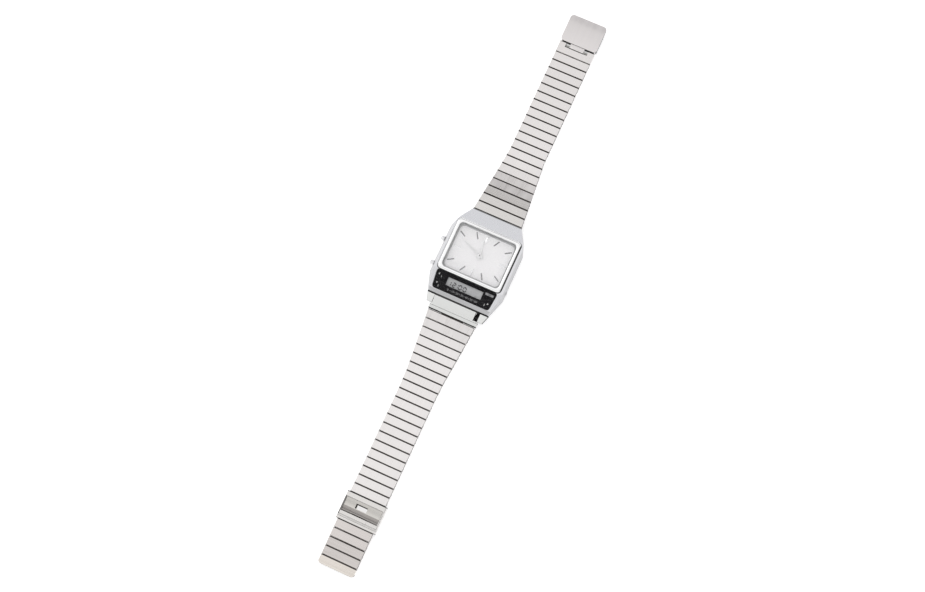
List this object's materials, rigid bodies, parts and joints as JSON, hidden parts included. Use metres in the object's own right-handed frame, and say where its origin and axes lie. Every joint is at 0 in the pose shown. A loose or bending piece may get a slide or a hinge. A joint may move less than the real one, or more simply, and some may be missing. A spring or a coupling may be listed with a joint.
{
  "type": "analogue and digital wristwatch",
  "caption": "Rectangular-faced wristwatch with hands over a liquid crystal strip, on a tapered bracelet of flat bars with a sliding buckle, laid open.",
  "frame": {"origin": "centre of the case back, on the surface the watch lies on", "axes": "+X towards 3 o'clock, +Y towards 12 o'clock and along the open bracelet, +Z out of the dial"},
  "size_m": [0.031, 0.226, 0.0078],
  "materials": {
    "case_steel": "satin steel with fine straight grain",
    "bracelet_steel": "brushed warm steel, worn bright along the edges",
    "clasp_steel": "soft satin steel",
    "pin_steel": "drawn steel wire",
    "bezel": "polished steel",
    "crystal": "clear mineral glass",
    "panel_glass": "glossy clear glass over a black print",
    "panel_print": "gloss black print",
    "lcd": "grey green liquid crystal cell",
    "dial": "white dial lacquer",
    "marker": "dark polished batons",
    "hands": "polished steel",
    "module": "moulded dark plastic",
    "board": "green laminate",
    "cell": "plain steel can",
    "brass": "thin brass sheet",
    "gasket": "black rubber",
    "back_steel": "lengthwise brushed steel"
  },
  "bodies": {
    "case": {"case_body": "case_steel", "bezel_frame": "bezel", "dial_crystal": "crystal", "display_glass": "panel_glass", "display_mask": "panel_print", "lcd_cell": "lcd", "dial_plate": "dial", "dial_surround": "bezel", "hour_markers": "marker", "movement_module": "module", "circuit_board": "board", "battery_cell": "cell", "battery_clip": "cell", "piezo_buzzer": "brass", "back_gasket": "gasket", "case_back": "back_steel", "back_screws": "pin_steel", "spring_bars": "pin_steel"},
    "upper_link_01": {"upper_link_01": "bracelet_steel"},
    "upper_link_02": {"upper_link_02": "bracelet_steel"},
    "upper_link_03": {"upper_link_03": "bracelet_steel"},
    "upper_link_04": {"upper_link_04": "bracelet_steel"},
    "upper_link_05": {"upper_link_05": "bracelet_steel"},
    "upper_link_06": {"upper_link_06": "bracelet_steel"},
    "upper_links_07_08": {"upper_links_07_08": "bracelet_steel"},
    "upper_links_09_10": {"upper_links_09_10": "bracelet_steel"},
    "upper_links_11_12": {"upper_links_11_12": "bracelet_steel"},
    "upper_links_13_14": {"upper_links_13_14": "bracelet_steel"},
    "upper_links_15_16": {"upper_links_15_16": "bracelet_steel"},
    "upper_links_17_18": {"upper_links_17_18": "bracelet_steel"},
    "upper_links_19_20": {"upper_links_19_20": "bracelet_steel"},
    "clasp_end_link": {"clasp_end_link": "bracelet_steel", "cover_hinge_pin": "pin_steel"},
    "lower_end_link": {"lower_end_link": "bracelet_steel"},
    "lower_link_01": {"lower_link_01": "bracelet_steel"},
    "lower_link_02": {"lower_link_02": "bracelet_steel"},
    "lower_link_03": {"lower_link_03": "bracelet_steel"},
    "lower_link_04": {"lower_link_04": "bracelet_steel"},
    "lower_link_05": {"lower_link_05": "bracelet_steel"},
    "lower_links_06_07": {"lower_links_06_07": "bracelet_steel"},
    "lower_links_08_09": {"lower_links_08_09": "bracelet_steel"},
    "lower_links_10_11": {"lower_links_10_11": "bracelet_steel"},
    "lower_links_12_13": {"lower_links_12_13": "bracelet_steel"},
    "lower_links_14_15": {"lower_links_14_15": "bracelet_steel"},
    "lower_links_16_17": {"lower_links_16_17": "bracelet_steel"},
    "lower_links_18_19": {"lower_links_18_19": "bracelet_steel"},
    "lower_links_20_21": {"lower_links_20_21": "bracelet_steel"},
    "slider_track_links": {"slider_track_links": "bracelet_steel"},
    "tail_link_01": {"tail_link_01": "bracelet_steel"},
    "tail_link_02": {"tail_link_02": "bracelet_steel"},
    "tail_link_03": {"tail_link_03": "bracelet_steel"},
    "clasp_cover": {"clasp_cover": "clasp_steel"},
    "clasp_slider": {"clasp_slider": "clasp_steel"},
    "slider_lock_plate": {"slider_lock_plate": "clasp_steel"},
    "button_upper_left": {"button_upper_left": "case_steel"},
    "button_lower_left": {"button_lower_left": "case_steel"},
    "button_lower_right": {"button_lower_right": "case_steel"},
    "minute_hand": {"minute_hand": "hands"},
    "hour_hand": {"hour_hand": "hands"}
  },
  "joints": [
    {"name": "upper_link_01_hinge", "type": "hinge", "parent": "case", "child": "upper_link_01", "pos_m": [0, 0.01845, 0.0026], "axis": [-1, 0, 0], "range_deg": [-5, 10]},
    {"name": "upper_link_02_hinge", "type": "hinge", "parent": "upper_link_01", "child": "upper_link_02", "pos_m": [0, 0.0219, 0.0026], "axis": [-1, 0, 0], "range_deg": [-6.99, 8.01]},
    {"name": "upper_link_03_hinge", "type": "hinge", "parent": "upper_link_02", "child": "upper_link_03", "pos_m": [0, 0.02535, 0.00248], "axis": [-1, 0, 0], "range_deg": [-9, 6]},
    {"name": "upper_link_04_hinge", "type": "hinge", "parent": "upper_link_03", "child": "upper_link_04", "pos_m": [0, 0.02878, 0.00212], "axis": [-1, 0, 0], "range_deg": [-8.02, 6.99]},
    {"name": "upper_link_05_hinge", "type": "hinge", "parent": "upper_link_04", "child": "upper_link_05", "pos_m": [0, 0.03219, 0.00158], "axis": [-1, 0, 0], "range_deg": [-1.99, 13.02]},
    {"name": "upper_link_06_hinge", "type": "hinge", "parent": "upper_link_05", "child": "upper_link_06", "pos_m": [0, 0.03562, 0.00122], "axis": [-1, 0, 0], "range_deg": [-1, 14]},
    {"name": "upper_links_07_08_hinge", "type": "hinge", "parent": "upper_link_06", "child": "upper_links_07_08", "pos_m": [0, 0.03907, 0.0011], "axis": [-1, 0, 0], "range_deg": [-3.01, 11.99]},
    {"name": "upper_links_09_10_hinge", "type": "hinge", "parent": "upper_links_07_08", "child": "upper_links_09_10", "pos_m": [0, 0.04597, 0.0011], "axis": [-1, 0, 0], "range_deg": [-5, 10]},
    {"name": "upper_links_11_12_hinge", "type": "hinge", "parent": "upper_links_09_10", "child": "upper_links_11_12", "pos_m": [0, 0.05287, 0.0011], "axis": [-1, 0, 0], "range_deg": [-5, 10]},
    {"name": "upper_links_13_14_hinge", "type": "hinge", "parent": "upper_links_11_12", "child": "upper_links_13_14", "pos_m": [0, 0.05977, 0.0011], "axis": [-1, 0, 0], "range_deg": [-5, 10]},
    {"name": "upper_links_15_16_hinge", "type": "hinge", "parent": "upper_links_13_14", "child": "upper_links_15_16", "pos_m": [0, 0.06667, 0.0011], "axis": [-1, 0, 0], "range_deg": [-5, 10]},
    {"name": "upper_links_17_18_hinge", "type": "hinge", "parent": "upper_links_15_16", "child": "upper_links_17_18", "pos_m": [0, 0.07357, 0.0011], "axis": [-1, 0, 0], "range_deg": [-5, 10]},
    {"name": "upper_links_19_20_hinge", "type": "hinge", "parent": "upper_links_17_18", "child": "upper_links_19_20", "pos_m": [0, 0.08047, 0.0011], "axis": [-1, 0, 0], "range_deg": [-5, 10]},
    {"name": "clasp_end_link_hinge", "type": "hinge", "parent": "upper_links_19_20", "child": "clasp_end_link", "pos_m": [0, 0.08737, 0.0011], "axis": [-1, 0, 0], "range_deg": [-5, 10]},
    {"name": "lower_end_link_hinge", "type": "hinge", "parent": "case", "child": "lower_end_link", "pos_m": [0, -0.0179, 0.00265], "axis": [1, 0, 0], "range_deg": [-11, 4]},
    {"name": "lower_link_01_hinge", "type": "hinge", "parent": "lower_end_link", "child": "lower_link_01", "pos_m": [0, -0.02044, 0.00238], "axis": [1, 0, 0], "range_deg": [-7.99, 7.01]},
    {"name": "lower_link_02_hinge", "type": "hinge", "parent": "lower_link_01", "child": "lower_link_02", "pos_m": [0, -0.02384, 0.00184], "axis": [1, 0, 0], "range_deg": [-3.06, 11.94]},
    {"name": "lower_link_03_hinge", "type": "hinge", "parent": "lower_link_02", "child": "lower_link_03", "pos_m": [0, -0.02727, 0.00142], "axis": [1, 0, 0], "range_deg": [-1.79, 13.21]},
    {"name": "lower_link_04_hinge", "type": "hinge", "parent": "lower_link_03", "child": "lower_link_04", "pos_m": [0, -0.03071, 0.00119], "axis": [1, 0, 0], "range_deg": [-2.65, 12.35]},
    {"name": "lower_link_05_hinge", "type": "hinge", "parent": "lower_link_04", "child": "lower_link_05", "pos_m": [0, -0.03416, 0.0011], "axis": [1, 0, 0], "range_deg": [-3.51, 11.49]},
    {"name": "lower_links_06_07_hinge", "type": "hinge", "parent": "lower_link_05", "child": "lower_links_06_07", "pos_m": [0, -0.03761, 0.0011], "axis": [1, 0, 0], "range_deg": [-5, 10]},
    {"name": "lower_links_08_09_hinge", "type": "hinge", "parent": "lower_links_06_07", "child": "lower_links_08_09", "pos_m": [0, -0.04451, 0.0011], "axis": [1, 0, 0], "range_deg": [-5, 10]},
    {"name": "lower_links_10_11_hinge", "type": "hinge", "parent": "lower_links_08_09", "child": "lower_links_10_11", "pos_m": [0, -0.05141, 0.0011], "axis": [1, 0, 0], "range_deg": [-5, 10]},
    {"name": "lower_links_12_13_hinge", "type": "hinge", "parent": "lower_links_10_11", "child": "lower_links_12_13", "pos_m": [0, -0.05831, 0.0011], "axis": [1, 0, 0], "range_deg": [-5, 10]},
    {"name": "lower_links_14_15_hinge", "type": "hinge", "parent": "lower_links_12_13", "child": "lower_links_14_15", "pos_m": [0, -0.06521, 0.0011], "axis": [1, 0, 0], "range_deg": [-5, 10]},
    {"name": "lower_links_16_17_hinge", "type": "hinge", "parent": "lower_links_14_15", "child": "lower_links_16_17", "pos_m": [0, -0.07211, 0.0011], "axis": [1, 0, 0], "range_deg": [-5, 10]},
    {"name": "lower_links_18_19_hinge", "type": "hinge", "parent": "lower_links_16_17", "child": "lower_links_18_19", "pos_m": [0, -0.07901, 0.0011], "axis": [1, 0, 0], "range_deg": [-2.51, 12.49]},
    {"name": "lower_links_20_21_hinge", "type": "hinge", "parent": "lower_links_18_19", "child": "lower_links_20_21", "pos_m": [0, -0.0859, 0.0014], "axis": [1, 0, 0], "range_deg": [-5, 10]},
    {"name": "slider_track_links_hinge", "type": "hinge", "parent": "lower_links_20_21", "child": "slider_track_links", "pos_m": [0, -0.0928, 0.0017], "axis": [1, 0, 0], "range_deg": [-7.49, 7.51]},
    {"name": "tail_link_01_hinge", "type": "hinge", "parent": "slider_track_links", "child": "tail_link_01", "pos_m": [0, -0.11005, 0.0017], "axis": [1, 0, 0], "range_deg": [-8.32, 6.68]},
    {"name": "tail_link_02_hinge", "type": "hinge", "parent": "tail_link_01", "child": "tail_link_02", "pos_m": [0, -0.11349, 0.0015], "axis": [1, 0, 0], "range_deg": [-5, 10]},
    {"name": "tail_link_03_hinge", "type": "hinge", "parent": "tail_link_02", "child": "tail_link_03", "pos_m": [0, -0.11693, 0.0013], "axis": [1, 0, 0], "range_deg": [-5, 10]},
    {"name": "clasp_cover_hinge", "type": "hinge", "parent": "clasp_end_link", "child": "clasp_cover", "pos_m": [0, 0.09202, 0.0011], "axis": [1, 0, 0], "range_deg": [0, 85]},
    {"name": "clasp_slider_slide", "type": "slide", "parent": "slider_track_links", "child": "clasp_slider", "axis": [0, 1, 0], "range_m": [-0.0066, 0]},
    {"name": "slider_lock_plate_hinge", "type": "hinge", "parent": "clasp_slider", "child": "slider_lock_plate", "pos_m": [0, -0.10065, 0.00352], "axis": [1, 0, 0], "range_deg": [0, 60]},
    {"name": "button_upper_left_push", "type": "slide", "parent": "case", "child": "button_upper_left", "axis": [1, 0, 0], "range_m": [0, 0.0008], "stiffness_N_per_m": 450},
    {"name": "button_lower_left_push", "type": "slide", "parent": "case", "child": "button_lower_left", "axis": [1, 0, 0], "range_m": [0, 0.0008], "stiffness_N_per_m": 450},
    {"name": "button_lower_right_push", "type": "slide", "parent": "case", "child": "button_lower_right", "axis": [-1, 0, 0], "range_m": [0, 0.0008], "stiffness_N_per_m": 450},
    {"name": "minute_hand_turn", "type": "hinge", "parent": "case", "child": "minute_hand", "pos_m": [0, 0.00325, 0.0053], "axis": [0, 0, -1], "continuous": true},
    {"name": "hour_hand_turn", "type": "hinge", "parent": "case", "child": "hour_hand", "pos_m": [0, 0.00325, 0.0053], "axis": [0, 0, -1], "continuous": true}
  ],
  "couplings": [
    {"joint": "hour_hand_turn", "follows": "minute_hand_turn", "ratio": 0.083333}
  ]
}
